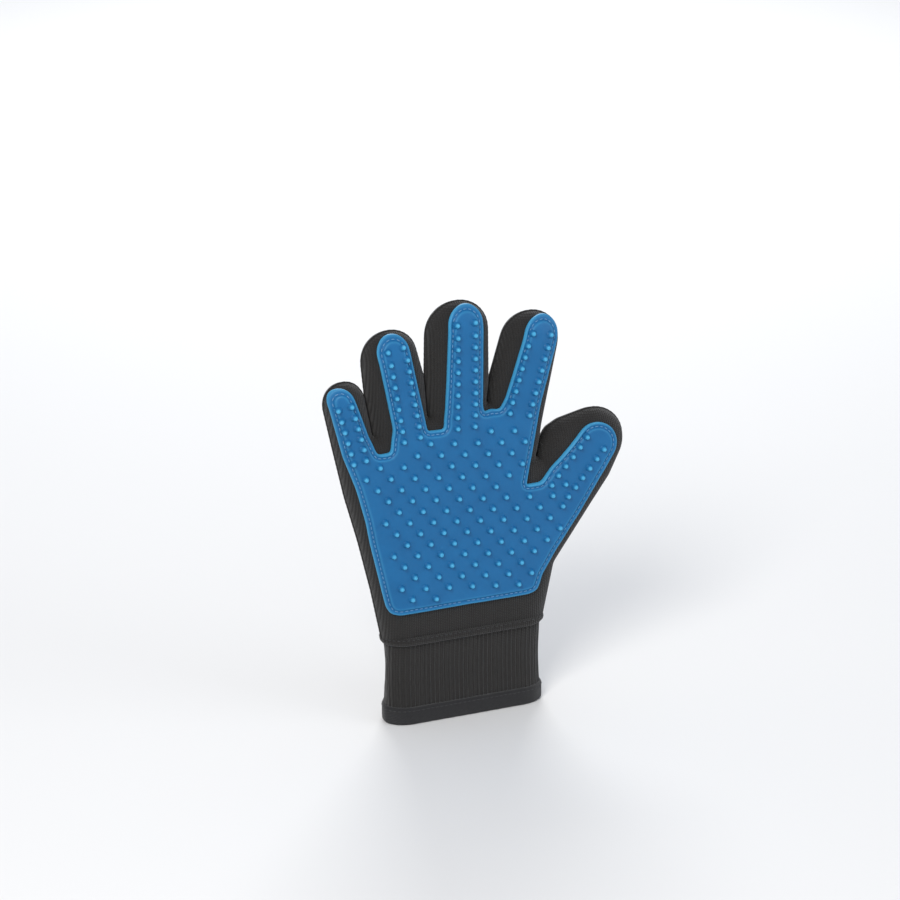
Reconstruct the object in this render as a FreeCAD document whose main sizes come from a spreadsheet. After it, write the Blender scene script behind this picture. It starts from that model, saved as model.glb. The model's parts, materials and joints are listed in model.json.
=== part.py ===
import math
import os

import FreeCAD
import Part
import Sketcher

# Grooming glove for the right hand, millimetres.
# +Z runs from the cuff to the fingertips, -Y is the rubber palm side, +X is the thumb side.
# The origin is the centre of the cuff's mouth.

doc = FreeCAD.newDocument("grooming_glove")
V = FreeCAD.Vector

# ---------------------------------------------------------------- driving dimensions

SIZES = {
    "fabric_thick": 1.5,    # two layers of knitted fabric and their seam allowance
    "rubber_thick": 2.0,    # moulded rubber panel without its nubs
    "skin_front": 9.0,      # palm-side face of the fabric, in front of the middle plane
    "palm_back": 13.0,      # back face of the hand and cuff
    "palm_corner": 8.9,     # rounding of the hand's and cuff's cross-section
    "digit_corner": 8.0,    # rounding of a digit's cross-section
    "axis_front": 5.0,      # knuckle lines, in front of the middle plane
    "flex_bend": 55.0,      # largest bend at a knuckle line
    "flex_back": 10.0,      # largest backward bend at a knuckle line
    "flex_gap": 0.8,        # half of the soft stretch at a knuckle line
    "zone_deep": 16.0,      # reach of a cutting solid, front to back
    "zone_far": 120.0,      # reach of a cutting solid, past the fingertip
    "cuff_height": 46.0,
    "cuff_half": 44.0,      # half width of the cuff
    "hem_height": 10.0,     # binding around the cuff's mouth
    "hem_thick": 1.0,
    "rubber_bottom": 64.0,  # lower edge of the rubber panel
    "web_height": 157.0,    # the hand's hollow ends here and goes on inside the fingers
    "strap_low": 17.0,      # lower edge of the wrist strap
    "strap_width": 24.0,
    "strap_thick": 1.6,
    "strap_fold": -24.0,    # line where the free tab leaves its sewn end
    "strap_end": 38.0,      # free end of the tab
    "patch_thick": 1.0,     # hook patch and loop patch
    "patch_margin": 1.5,
    "nub_base": 2.0,
    "nub_top": 0.6,
    "nub_high": 2.6,
    "nub_sunk": 0.6,        # part of each nub that is inside the panel
    "palm_pitch": 13.3,     # nubs along one row of the palm
    "palm_row": 6.15,       # from one row of the palm to the next
    "palm_turn": 7.0,       # the palm's rows fall this much towards the thumb
    "digit_pitch": 6.2,     # nubs along a digit
}

# For each digit: the root's place, its lean towards the thumb in degrees, half width at the root,
# radius of the fingertip, from the root to that radius's centre, from the root to the knuckle
# line, half width of its rubber strip, half of the distance between its two rows of nubs, and how
# far it runs on into the hand.
DIGITS = {
    "pinky": (-61.0, 162.5, -12.8, 10.6, 10.8, 21.7, 14.5, 7.4, 3.4, 14.0),
    "ring": (-34.8, 166.8, -8.7, 15.0, 15.0, 37.6, 24.0, 9.0, 4.4, 18.0),
    "middle": (-3.1, 172.5, 0.0, 16.1, 17.3, 40.2, 27.0, 10.0, 4.6, 20.0),
    "index": (30.2, 171.6, 13.0, 16.4, 15.9, 32.4, 22.5, 10.0, 4.8, 20.0),
    "thumb": (56.8, 122.6, 39.5, 21.6, 16.3, 27.1, 17.0, 11.0, 5.2, 36.0),
}
DIGIT_WORDS = ("rootx", "rootz", "lean", "half", "tipr", "reach", "knuckle", "strip", "rowgap", "stub")

# Cross-sections of the hand: height, left edge, right edge and back face.
HAND = (
    (46.0, -45.0, 45.0, 13.0),
    (77.0, -51.0, 50.5, 13.0),
    (106.0, -57.5, 47.0, 13.0),
    (138.0, -65.5, 43.0, 12.0),
    (180.0, -75.0, 47.0, 9.0),
)

sheet = doc.addObject("Spreadsheet::Sheet", "Sizes")


def add_cells(values, column):
    """Write names and plain numbers into two neighbouring columns, with the names as aliases."""
    for row, (name, value) in enumerate(values.items(), start=1):
        sheet.set(f"{column}{row}", name)
        cell = f"{chr(ord(column) + 1)}{row}"
        sheet.set(cell, str(value))
        sheet.setAlias(cell, name)


add_cells(SIZES, "A")
for number, (digit, sizes) in enumerate(DIGITS.items()):
    cells = {f"{digit}_{word}": size for word, size in zip(DIGIT_WORDS, sizes)}
    add_cells(cells, chr(ord("D") + 3 * number))
hand_cells = {}
for level, (height, left, right, rear) in enumerate(HAND):
    hand_cells[f"level{level}_height"] = height
    hand_cells[f"level{level}_left"] = left
    hand_cells[f"level{level}_right"] = right
    hand_cells[f"level{level}_rear"] = rear
add_cells(hand_cells, "S")
doc.recompute()


def size(name):
    """A driving dimension, read from the sheet."""
    return float(sheet.get(name))


# ---------------------------------------------------------------- sketch and solid helpers

def new_body(label):
    """A body with a label of its own."""
    body = doc.addObject("PartDesign::Body", label)
    body.Label = label
    return body


def new_sketch(body, role):
    """A sketch on one of the body's own origin planes."""
    sketch = body.newObject("Sketcher::SketchObject", body.Name + "_outline")
    plane = next(item for item in body.Origin.OriginFeatures if item.Role == role)
    sketch.AttachmentSupport = [(plane, "")]
    sketch.MapMode = "FlatFace"
    return sketch


def place_point(sketch, edge, end, name, across, along, across_value, along_value):
    """Hold one end of an edge at a place whose two coordinates are expressions."""
    for kind, word, formula, value in (
        ("DistanceX", "x", across, across_value),
        ("DistanceY", "y", along, along_value),
    ):
        index = sketch.addConstraint(Sketcher.Constraint(kind, -1, 1, edge, end, value))
        sketch.renameConstraint(index, f"{name}_{word}")
        sketch.setExpression(f".Constraints.{name}_{word}", formula)


def polygon(sketch, corners):
    """A closed outline of straight edges; each corner is two expressions with their values."""
    count = len(corners)
    points = [V(corner[2], corner[3], 0) for corner in corners]
    for i in range(count):
        sketch.addGeometry(Part.LineSegment(points[i], points[(i + 1) % count]), False)
    for i in range(count):
        sketch.addConstraint(Sketcher.Constraint("Coincident", i, 2, (i + 1) % count, 1))
    for i, (across, along, across_value, along_value) in enumerate(corners):
        place_point(sketch, i, 1, f"corner{i}", across, along, across_value, along_value)


def pad(body, sketch, length, both_sides=True):
    """Pad a sketch by a length that is an expression."""
    feature = body.newObject("PartDesign::Pad", body.Name + "_pad")
    feature.Profile = sketch
    feature.SideType = "Symmetric" if both_sides else "One side"
    feature.setExpression("Length", length)
    sketch.Visibility = False
    return feature


def solid_of(kind, label, **links):
    """A boolean of other objects."""
    feature = doc.addObject(kind, label)
    feature.Label = label
    for name, value in links.items():
        setattr(feature, name, value)
    return feature


def cut(label, base, tool):
    return solid_of("Part::Cut", label, Base=base, Tool=tool)


def common(label, *shapes):
    return solid_of("Part::MultiCommon", label, Shapes=list(shapes))


def fuse(label, *shapes):
    return solid_of("Part::MultiFuse", label, Shapes=list(shapes))


def box(label, low, high):
    """A box between two corners whose coordinates are expressions."""
    feature = doc.addObject("Part::Box", label)
    feature.Label = label
    for side, first, last in zip(("Length", "Width", "Height"), low, high):
        feature.setExpression(side, f"({last}) - ({first})")
    for axis, first in zip("xyz", low):
        feature.setExpression(f".Placement.Base.{axis}", first)
    return feature


def digit_placement(digit):
    """Local Z runs along the digit and local X runs across it, towards the thumb."""
    base = V(size(digit + "_rootx"), 0, size(digit + "_rootz"))
    return FreeCAD.Placement(base, FreeCAD.Rotation(V(0, 1, 0), size(digit + "_lean")))


def bind_placement(feature, digit):
    """Tie a feature's place to the digit's root and lean."""
    feature.Placement = digit_placement(digit)
    feature.setExpression(".Placement.Base.x", f"Sizes.{digit}_rootx")
    feature.setExpression(".Placement.Base.z", f"Sizes.{digit}_rootz")


# ---------------------------------------------------------------- the hand's envelopes

def rounded_section(body, level, grow, grow_value):
    """One rounded cross-section of the hand, grown outwards by an expression."""
    sketch = body.newObject("Sketcher::SketchObject", f"{body.Name}_level{level}")
    plane = next(item for item in body.Origin.OriginFeatures if item.Role == "XY_Plane")
    sketch.AttachmentSupport = [(plane, "")]
    sketch.MapMode = "FlatFace"
    sketch.setExpression(".AttachmentOffset.Base.z", f"Sizes.level{level}_height")
    left = size(f"level{level}_left") - grow_value
    right = size(f"level{level}_right") + grow_value
    front = -size("skin_front") - grow_value
    back = size(f"level{level}_rear") + grow_value
    radius = size("palm_corner") + grow_value
    sketch.addGeometry(Part.LineSegment(V(left + radius, front, 0), V(right - radius, front, 0)), False)
    sketch.addGeometry(Part.LineSegment(V(right, front + radius, 0), V(right, back - radius, 0)), False)
    sketch.addGeometry(Part.LineSegment(V(right - radius, back, 0), V(left + radius, back, 0)), False)
    sketch.addGeometry(Part.LineSegment(V(left, back - radius, 0), V(left, front + radius, 0)), False)
    centres = (
        (right - radius, front + radius, -90),
        (right - radius, back - radius, 0),
        (left + radius, back - radius, 90),
        (left + radius, front + radius, 180),
    )
    for x, y, start in centres:
        circle = Part.Circle(V(x, y, 0), V(0, 0, 1), radius)
        arc = Part.ArcOfCircle(circle, math.radians(start), math.radians(start + 90))
        sketch.addGeometry(arc, False)
    for corner in range(4):
        sketch.addConstraint(Sketcher.Constraint("Tangent", corner, 2, corner + 4, 1))
        sketch.addConstraint(Sketcher.Constraint("Tangent", corner + 4, 2, (corner + 1) % 4, 1))
    for corner in range(1, 4):
        sketch.addConstraint(Sketcher.Constraint("Equal", 4, corner + 4))
    index = sketch.addConstraint(Sketcher.Constraint("Radius", 4, radius))
    sketch.renameConstraint(index, "corner")
    sketch.setExpression(".Constraints.corner", f"Sizes.palm_corner + ({grow})")
    sides = (
        ("front", "DistanceY", 0, f"-Sizes.skin_front - ({grow})", front),
        ("right", "DistanceX", 1, f"Sizes.level{level}_right + ({grow})", right),
        ("back", "DistanceY", 2, f"Sizes.level{level}_rear + ({grow})", back),
        ("left", "DistanceX", 3, f"Sizes.level{level}_left - ({grow})", left),
    )
    for edge in (0, 2):
        sketch.addConstraint(Sketcher.Constraint("Horizontal", edge))
    for edge in (1, 3):
        sketch.addConstraint(Sketcher.Constraint("Vertical", edge))
    for name, kind, edge, formula, value in sides:
        index = sketch.addConstraint(Sketcher.Constraint(kind, -1, 1, edge, 1, value))
        sketch.renameConstraint(index, name)
        sketch.setExpression(f".Constraints.{name}", formula)
    return sketch


def hand_envelope(label, grow, grow_value):
    """The hand from the wrist to the finger roots, grown outwards by an expression."""
    body = new_body(label)
    sections = [rounded_section(body, level, grow, grow_value) for level in range(len(HAND))]
    doc.recompute()
    loft = body.newObject("PartDesign::AdditiveLoft", label + "_loft")
    loft.Profile = sections[0]
    loft.Sections = sections[1:]
    loft.Ruled = True
    return body


def cuff_envelope(label, grow, grow_value, low, high):
    """A stretch of the cuff between two heights, grown outwards by an expression."""
    feature = doc.addObject("Part::Box", label + "_block")
    feature.setExpression("Length", f"2 * (Sizes.cuff_half + ({grow}))")
    feature.setExpression("Width", f"Sizes.skin_front + Sizes.palm_back + 2 * ({grow})")
    feature.setExpression("Height", f"({high}) - ({low})")
    feature.setExpression(".Placement.Base.x", f"-Sizes.cuff_half - ({grow})")
    feature.setExpression(".Placement.Base.y", f"-Sizes.skin_front - ({grow})")
    feature.setExpression(".Placement.Base.z", low)
    doc.recompute()
    upright = [
        number for number, edge in enumerate(feature.Shape.Edges, start=1)
        if abs(edge.tangentAt(edge.FirstParameter).z) > 0.9
    ]
    rounded = doc.addObject("Part::Fillet", label)
    rounded.Label = label
    rounded.Base = feature
    radius = size("palm_corner") + grow_value
    rounded.Edges = [(number, radius, radius) for number in upright]
    return rounded


def digit_envelope(digit, label, grow, grow_value):
    """One digit from inside the hand to its tip, grown outwards by an expression."""
    body = new_body(label)
    sketch = new_sketch(body, "XZ_Plane")
    half = size(digit + "_half") + grow_value
    radius = size(digit + "_tipr") + grow_value
    reach = size(digit + "_reach")
    stub = size(digit + "_stub")
    sketch.addGeometry(Part.LineSegment(V(-half, -stub, 0), V(half, -stub, 0)), False)
    sketch.addGeometry(Part.LineSegment(V(half, -stub, 0), V(half, 0, 0)), False)
    sketch.addGeometry(Part.LineSegment(V(half, 0, 0), V(radius, reach, 0)), False)
    circle = Part.Circle(V(0, reach, 0), V(0, 0, 1), radius)
    sketch.addGeometry(Part.ArcOfCircle(circle, 0, math.pi), False)
    sketch.addGeometry(Part.LineSegment(V(-radius, reach, 0), V(-half, 0, 0)), False)
    sketch.addGeometry(Part.LineSegment(V(-half, 0, 0), V(-half, -stub, 0)), False)
    for first, second in ((0, 1), (1, 2), (4, 5), (5, 0)):
        sketch.addConstraint(Sketcher.Constraint("Coincident", first, 2, second, 1))
    sketch.addConstraint(Sketcher.Constraint("Tangent", 2, 2, 3, 1))
    sketch.addConstraint(Sketcher.Constraint("Tangent", 3, 2, 4, 1))
    grown = f"Sizes.{digit}_half + ({grow})"
    place_point(sketch, 0, 1, "stub_left", f"-({grown})", f"-Sizes.{digit}_stub", -half, -stub)
    place_point(sketch, 0, 2, "stub_right", grown, f"-Sizes.{digit}_stub", half, -stub)
    place_point(sketch, 3, 3, "tip", "0", f"Sizes.{digit}_reach", 0, reach)
    for edge, end, name, sign in ((2, 1, "root_right", 1), (5, 1, "root_left", -1)):
        place_point(sketch, edge, end, name, f"{sign} * ({grown})", "0", sign * half, 0)
    index = sketch.addConstraint(Sketcher.Constraint("Radius", 3, radius))
    sketch.renameConstraint(index, "tip_radius")
    sketch.setExpression(".Constraints.tip_radius", f"Sizes.{digit}_tipr + ({grow})")
    block = pad(body, sketch, f"2 * (Sizes.skin_front + ({grow}))")
    doc.recompute()
    rim = [
        f"Edge{number}" for number, edge in enumerate(body.Shape.Edges, start=1)
        if is_digit_rim(edge, stub)
    ]
    rounding = body.newObject("PartDesign::Fillet", label + "_rounding")
    rounding.Base = (block, rim)
    rounding.setExpression("Radius", f"Sizes.digit_corner + ({grow})")
    bind_placement(body, digit)
    return body


def is_digit_rim(edge, stub):
    """The front and back outlines, without the flat end inside the hand and the short uprights."""
    box_of_edge = edge.BoundBox
    across_thickness = box_of_edge.YLength > 1
    flat_end = box_of_edge.ZMax < 1 - stub
    return not across_thickness and not flat_end


def stretch_edge(digit, place, side):
    """Front, middle and rear corners of one edge of the soft stretch at a knuckle line.

    place is the name of the size that holds the knuckle line's place, or None at the root. side is
    -1 for the edge nearer the hand and +1 for the edge nearer the tip. Each corner is an
    expression and a value for the front-to-back place and for the place along the digit.
    """
    centre = f"Sizes.{digit}_{place}" if place else "0"
    centre_value = size(f"{digit}_{place}") if place else 0
    deep = size("zone_deep")
    axis = size("axis_front")
    gap = f"{centre} + {side} * Sizes.flex_gap"
    gap_value = centre_value + side * size("flex_gap")
    front_rise = "(Sizes.zone_deep - Sizes.axis_front) * tan(Sizes.flex_bend * 0.5)"
    rear_rise = "(Sizes.zone_deep + Sizes.axis_front) * tan(Sizes.flex_back * 0.5)"
    front_value = (deep - axis) * math.tan(math.radians(size("flex_bend") / 2))
    rear_value = (deep + axis) * math.tan(math.radians(size("flex_back") / 2))
    return [
        ("-Sizes.zone_deep", f"{gap} + {side} * {front_rise}", -deep, gap_value + side * front_value),
        ("-Sizes.axis_front", gap, -axis, gap_value),
        ("Sizes.zone_deep", f"{gap} + {side} * {rear_rise}", deep, gap_value + side * rear_value),
    ]


def zone(digit, label, lower, upper):
    """A cutting solid across a digit between two edges of soft stretches; None is past the tip."""
    body = new_body(label)
    sketch = new_sketch(body, "YZ_Plane")
    deep = size("zone_deep")
    far = size("zone_far")
    beyond = [
        ("-Sizes.zone_deep", "Sizes.zone_far", -deep, far),
        ("Sizes.zone_deep", "Sizes.zone_far", deep, far),
    ]
    last = stretch_edge(digit, *upper) if upper else beyond
    polygon(sketch, stretch_edge(digit, *lower) + last[::-1])
    pad(body, sketch, f"2 * (Sizes.{digit}_half + 3)")
    bind_placement(body, digit)
    return body


# ---------------------------------------------------------------- envelopes and zones

ENVELOPES = {
    "outer": ("0", 0.0),
    "inner": ("-Sizes.fabric_thick", -size("fabric_thick")),
    "panel": ("Sizes.rubber_thick", size("rubber_thick")),
}
hand = {}
digits = {digit: {} for digit in DIGITS}
for layer, (grow, grow_value) in ENVELOPES.items():
    hand[layer] = hand_envelope(f"hand_{layer}", grow, grow_value)
    for digit in DIGITS:
        label = f"{digit}_{layer}"
        digits[digit][layer] = digit_envelope(digit, label, grow, grow_value)

STRETCHES = {
    "root_flex": ((None, -1), (None, 1)),
    "base": ((None, 1), ("knuckle", -1)),
    "mid_flex": (("knuckle", -1), ("knuckle", 1)),
    "tip": (("knuckle", 1), None),
}
beyond_root = []
for digit in DIGITS:
    for stretch, (lower, upper) in STRETCHES.items():
        digits[digit][stretch] = zone(digit, f"{digit}_{stretch}_zone", lower, upper)
    beyond_root.append(zone(digit, f"{digit}_beyond_zone", (None, -1), None))
fingers_cut = fuse("fingers_cut", *beyond_root)

# ---------------------------------------------------------------- rubber panel outlines

def strip(digit):
    """The outline of the rubber on one digit: a strip with a round end, cut deep towards the palm."""
    body = new_body(f"{digit}_strip")
    sketch = new_sketch(body, "XZ_Plane")
    half = size(digit + "_strip")
    end = size(digit + "_reach") + size(digit + "_tipr") - half - 1
    stub = size(digit + "_stub")
    sketch.addGeometry(Part.LineSegment(V(-half, -stub, 0), V(half, -stub, 0)), False)
    sketch.addGeometry(Part.LineSegment(V(half, -stub, 0), V(half, end, 0)), False)
    sketch.addGeometry(Part.ArcOfCircle(Part.Circle(V(0, end, 0), V(0, 0, 1), half), 0, math.pi), False)
    sketch.addGeometry(Part.LineSegment(V(-half, end, 0), V(-half, -stub, 0)), False)
    sketch.addConstraint(Sketcher.Constraint("Coincident", 0, 2, 1, 1))
    sketch.addConstraint(Sketcher.Constraint("Tangent", 1, 2, 2, 1))
    sketch.addConstraint(Sketcher.Constraint("Tangent", 2, 2, 3, 1))
    sketch.addConstraint(Sketcher.Constraint("Coincident", 3, 2, 0, 1))
    width = f"Sizes.{digit}_strip"
    low = f"-Sizes.{digit}_stub"
    place_point(sketch, 0, 1, "low_left", f"-{width}", low, -half, -stub)
    place_point(sketch, 0, 2, "low_right", width, low, half, -stub)
    top = f"Sizes.{digit}_reach + Sizes.{digit}_tipr - {width} - 1"
    place_point(sketch, 2, 3, "end", "0", top, 0, end)
    feature = pad(body, sketch, "Sizes.zone_deep", False)
    bind_placement(body, digit)
    doc.recompute()
    feature.Reversed = body.Shape.BoundBox.YMax > 1
    return body


# Corners of the palm's rubber: left edge upwards, the valleys between the strips, right edge down.
PALM_RUBBER = (
    (-50.0, 64.0), (-54.0, 108.0), (-68.0, 156.0), (-51.5, 156.5), (-43.0, 155.5), (-24.0, 164.0),
    (-12.0, 165.0), (8.0, 170.0), (19.0, 170.0), (37.0, 156.0), (31.5, 128.0), (40.0, 126.0),
    (66.0, 112.0), (41.0, 77.0), (40.0, 64.0),
)


def palm_outline():
    """The outline of the palm's rubber, cut deep towards the palm."""
    body = new_body("palm_outline")
    sketch = new_sketch(body, "XZ_Plane")
    corners = []
    for number, (x, z) in enumerate(PALM_RUBBER):
        low = number in (0, len(PALM_RUBBER) - 1)
        corners.append((str(x), "Sizes.rubber_bottom" if low else str(z), x, z))
    polygon(sketch, corners)
    feature = pad(body, sketch, "Sizes.zone_deep", False)
    doc.recompute()
    feature.Reversed = body.Shape.BoundBox.YMax > 1
    return body


def nub(place):
    """One cone that stands on the rubber's front face at a point of the XZ plane."""
    foot = V(place.x, size("nub_sunk") - size("skin_front") - size("rubber_thick"), place.z)
    height = size("nub_high") + size("nub_sunk")
    return Part.makeCone(size("nub_base"), size("nub_top"), height, foot, V(0, -1, 0))


def with_nubs(label, panel, places):
    """A panel with its moulded nubs."""
    field = doc.addObject("Part::Feature", label + "_nubs")
    field.Shape = Part.makeCompound([nub(place) for place in places])
    return fuse(label, panel, field)


def digit_nubs(digit, low, high):
    """Places of two staggered rows of nubs between two heights along a digit."""
    places = []
    for row in (-1, 1):
        along = low + (size("digit_pitch") / 2 if row > 0 else 0)
        while along <= high:
            places.append(digit_placement(digit).multVec(V(row * size(digit + "_rowgap"), 0, along)))
            along += size("digit_pitch")
    return places


# ---------------------------------------------------------------- the digits' pieces

parts = []
rubber_edge = size("skin_front") + size("rubber_thick") + size("nub_high") - size("axis_front")
clear = size("flex_gap") + size("nub_base") + rubber_edge * math.tan(math.radians(size("flex_bend") / 2))
strips = {}
for digit in DIGITS:
    layers = digits[digit]
    strips[digit] = strip(digit)
    knuckle = size(digit + "_knuckle")
    tip = size(digit + "_reach") + size(digit + "_tipr") - size("digit_corner")
    spans = {"base": (clear, knuckle - clear), "tip": (knuckle + clear, tip)}
    for stretch in STRETCHES:
        section = common(f"{digit}_{stretch}_section", layers["outer"], layers[stretch])
        parts.append(cut(f"{digit}_{stretch}_fabric", section, layers["inner"]))
        grown = common(f"{digit}_{stretch}_grown", layers["panel"], layers[stretch], strips[digit])
        nubs = digit_nubs(digit, *spans[stretch]) if stretch in spans else []
        name = f"{digit}_{stretch}_rubber"
        if nubs:
            panel = cut(name + "_panel", grown, layers["outer"])
            parts.append(with_nubs(name, panel, nubs))
        else:
            parts.append(cut(name, grown, layers["outer"]))

# ---------------------------------------------------------------- the hand's pieces

all_outer = fuse("all_outer", hand["outer"], *[digits[digit]["outer"] for digit in DIGITS])
wide = "Sizes.zone_far"
above_web = box("above_web", (f"-{wide}", f"-{wide}", "Sizes.web_height"), (wide, wide, f"2 * {wide}"))
hand_hollow = cut("hand_hollow", hand["inner"], above_web)
all_inner = fuse("all_inner", hand_hollow, *[digits[digit]["inner"] for digit in DIGITS])
all_panel = fuse("all_panel", hand["panel"], *[digits[digit]["panel"] for digit in DIGITS])
hand_solid = cut("hand_solid", all_outer, fingers_cut)
hand_skin = cut("hand_skin", hand_solid, all_inner)
front_half = box("front_half", (f"-{wide}", f"-{wide}", "0"), (wide, "0", f"2 * {wide}"))
back_half = box("back_half", (f"-{wide}", "0", "0"), (wide, wide, f"2 * {wide}"))
parts.append(common("hand_palm_fabric", hand_skin, front_half))
parts.append(common("hand_back_fabric", hand_skin, back_half))

palm_area = fuse("palm_area", palm_outline(), *strips.values())
palm_trimmed = cut("palm_trimmed", palm_area, fingers_cut)
palm_grown = common("palm_grown", palm_trimmed, all_panel)
palm_panel = cut("palm_panel", palm_grown, all_outer)
doc.recompute()


def palm_nubs():
    """Places of the palm's staggered rows, kept inside the flat of the panel and off its edge."""
    flat = palm_panel.Shape.common(Part.makeBox(300, 0.5, 300, V(-150, -size("skin_front") - 1.5, 0)))
    turn = FreeCAD.Rotation(V(0, 1, 0), size("palm_turn"))
    places = []
    for row in range(-14, 15):
        shift = size("palm_pitch") / 2 if row % 2 else 0
        for column in range(-7, 8):
            local = V(column * size("palm_pitch") + shift, 0, row * size("palm_row"))
            place = turn.multVec(local) + V(0, 0, 115)
            middle = V(place.x, -size("skin_front") - 1.4, place.z)
            foot = Part.makeCylinder(size("nub_base") + 1.5, 0.3, middle, V(0, 1, 0))
            if foot.common(flat).Volume > 0.999 * foot.Volume:
                places.append(place)
    return places


parts.append(with_nubs("palm_rubber", palm_panel, palm_nubs()))

# ---------------------------------------------------------------- cuff, binding and wrist strap

cuff_outer = cuff_envelope("cuff_outer", "0", 0, "0", "Sizes.cuff_height")
cuff_inner = cuff_envelope("cuff_inner", "-Sizes.fabric_thick", -size("fabric_thick"), "-1",
                           "Sizes.cuff_height + 1")
cuff_wall = cut("cuff_wall", cuff_outer, cuff_inner)
hem_trim = box("hem_trim", (f"-{wide}", f"-{wide}", "-1"), (wide, wide, "Sizes.hem_thick"))
parts.append(cut("cuff_band", cuff_wall, hem_trim))
hem_inside = "-Sizes.fabric_thick - Sizes.hem_thick"
hem_inside_value = -size("fabric_thick") - size("hem_thick")
hem_outer = cuff_envelope("hem_outer", "Sizes.hem_thick", size("hem_thick"), "0", "Sizes.hem_height")
hem_inner = cuff_envelope("hem_inner", hem_inside, hem_inside_value, "-1", "Sizes.hem_height + 1")
hem_ring = cut("hem_ring", hem_outer, hem_inner)
parts.append(cut("cuff_binding", hem_ring, parts[-1]))

back = "Sizes.palm_back"
patch = "Sizes.patch_thick"
low = "Sizes.strap_low"
margin = "Sizes.patch_margin"
high = f"{low} + Sizes.strap_width"
parts.append(box("loop_patch", ("Sizes.strap_fold + 12", back, f"{low} + {margin}"),
                 ("Sizes.strap_end", f"{back} + {patch}", f"{high} - {margin}")))
parts.append(box("hook_patch", ("Sizes.strap_end - 34", f"{back} + {patch}", f"{low} + {margin}"),
                 ("Sizes.strap_end - 2", f"{back} + 2 * {patch}", f"{high} - {margin}")))
parts.append(box("strap_tab", ("Sizes.strap_fold + 0.4", f"{back} + 2 * {patch}", low),
                 ("Sizes.strap_end", f"{back} + 2 * {patch} + Sizes.strap_thick", high)))
parts.append(box("strap_anchor", ("-Sizes.cuff_half + Sizes.palm_corner", back, low),
                 ("Sizes.strap_fold", f"{back} + 2 * {patch} + Sizes.strap_thick", high)))

# ---------------------------------------------------------------- checks and export

doc.recompute()
for item in doc.Objects:
    if "Invalid" in item.State or "Error" in item.State:
        raise RuntimeError(f"{item.Label} failed: {item.State}")
for item in parts:
    if item.Shape.isNull() or not item.Shape.isValid() or not item.Shape.Solids:
        raise RuntimeError(f"{item.Label} has no valid solid")

os.makedirs("parts", exist_ok=True)
for item in parts:
    item.Shape.exportStep(f"parts/{item.Label}.step")
    print(item.Label, len(item.Shape.Solids), round(item.Shape.Volume, 1))
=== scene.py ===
import json
import math

import bmesh
import bpy
import numpy as np
from mathutils import Matrix, Vector
from mathutils.geometry import delaunay_2d_cdt


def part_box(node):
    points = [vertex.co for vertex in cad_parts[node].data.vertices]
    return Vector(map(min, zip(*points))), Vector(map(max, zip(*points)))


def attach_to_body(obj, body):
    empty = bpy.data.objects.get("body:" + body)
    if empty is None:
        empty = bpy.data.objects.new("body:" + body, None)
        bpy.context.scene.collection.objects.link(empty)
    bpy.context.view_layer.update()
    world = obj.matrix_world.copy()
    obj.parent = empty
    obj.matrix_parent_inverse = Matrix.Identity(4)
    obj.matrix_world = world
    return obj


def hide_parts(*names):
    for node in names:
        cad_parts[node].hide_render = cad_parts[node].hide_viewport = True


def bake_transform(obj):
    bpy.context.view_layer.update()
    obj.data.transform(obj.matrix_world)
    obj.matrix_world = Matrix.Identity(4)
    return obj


# ---- The hand inside the frame ----
# The knitted hand is cut flat, so its whole shape follows from one outline in the XZ plane.
# Each digit takes its root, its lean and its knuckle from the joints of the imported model, and
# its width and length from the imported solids. All sizes here are millimetres.

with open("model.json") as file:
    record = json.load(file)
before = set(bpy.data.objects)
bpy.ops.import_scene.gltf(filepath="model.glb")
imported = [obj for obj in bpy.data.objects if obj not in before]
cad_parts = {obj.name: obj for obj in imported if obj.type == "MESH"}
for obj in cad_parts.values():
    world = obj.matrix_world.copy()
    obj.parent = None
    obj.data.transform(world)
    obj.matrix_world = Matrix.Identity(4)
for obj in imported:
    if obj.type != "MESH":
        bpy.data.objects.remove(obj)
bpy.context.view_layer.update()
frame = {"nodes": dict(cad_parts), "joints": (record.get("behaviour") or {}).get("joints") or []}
MM = 0.001
FULL_TURN = 2 * math.pi
joints = {joint["name"]: joint for joint in frame["joints"]}
DIGITS = ("pinky", "ring", "middle", "index", "thumb")


def node_points(name):
    """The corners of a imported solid, in millimetres, one row each."""
    mesh = frame["nodes"][name].data
    values = np.empty(len(mesh.vertices) * 3)
    mesh.vertices.foreach_get("co", values)
    return values.reshape(-1, 3) / MM


def in_digit(digit, points):
    """Places across and along a digit, from its root, for points (x, z)."""
    offset = np.atleast_2d(points) - digit["root"]
    return offset @ digit["across"], offset @ digit["along"]


def from_digit(digit, across, along):
    """Points (x, z) for places across and along a digit."""
    across, along = np.broadcast_arrays(np.asarray(across, float), np.asarray(along, float))
    return digit["root"] + across[..., None] * digit["across"] + along[..., None] * digit["along"]


def lengths(line):
    """How far along a line each of its points lies."""
    return np.concatenate([[0], np.cumsum(np.linalg.norm(np.diff(line, axis=0), axis=1))])


def read_off(line, ruler, places):
    """Points of a line at places on a ruler that holds one mark for each of its points."""
    return np.stack([np.interp(places, ruler, line[:, i]) for i in (0, 1)], axis=-1)


def to_right(step):
    """Unit directions to the right of steps (x, z)."""
    return np.stack([step[:, 1], -step[:, 0]], axis=-1) / np.linalg.norm(step, axis=1)[:, None]


# A digit is split into two pieces at a share of the way from its root to its knuckle, and its
# width is taken in a band of this height above its root.
SPLIT_SHARE = 0.52
ROOT_BAND = 4

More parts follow.
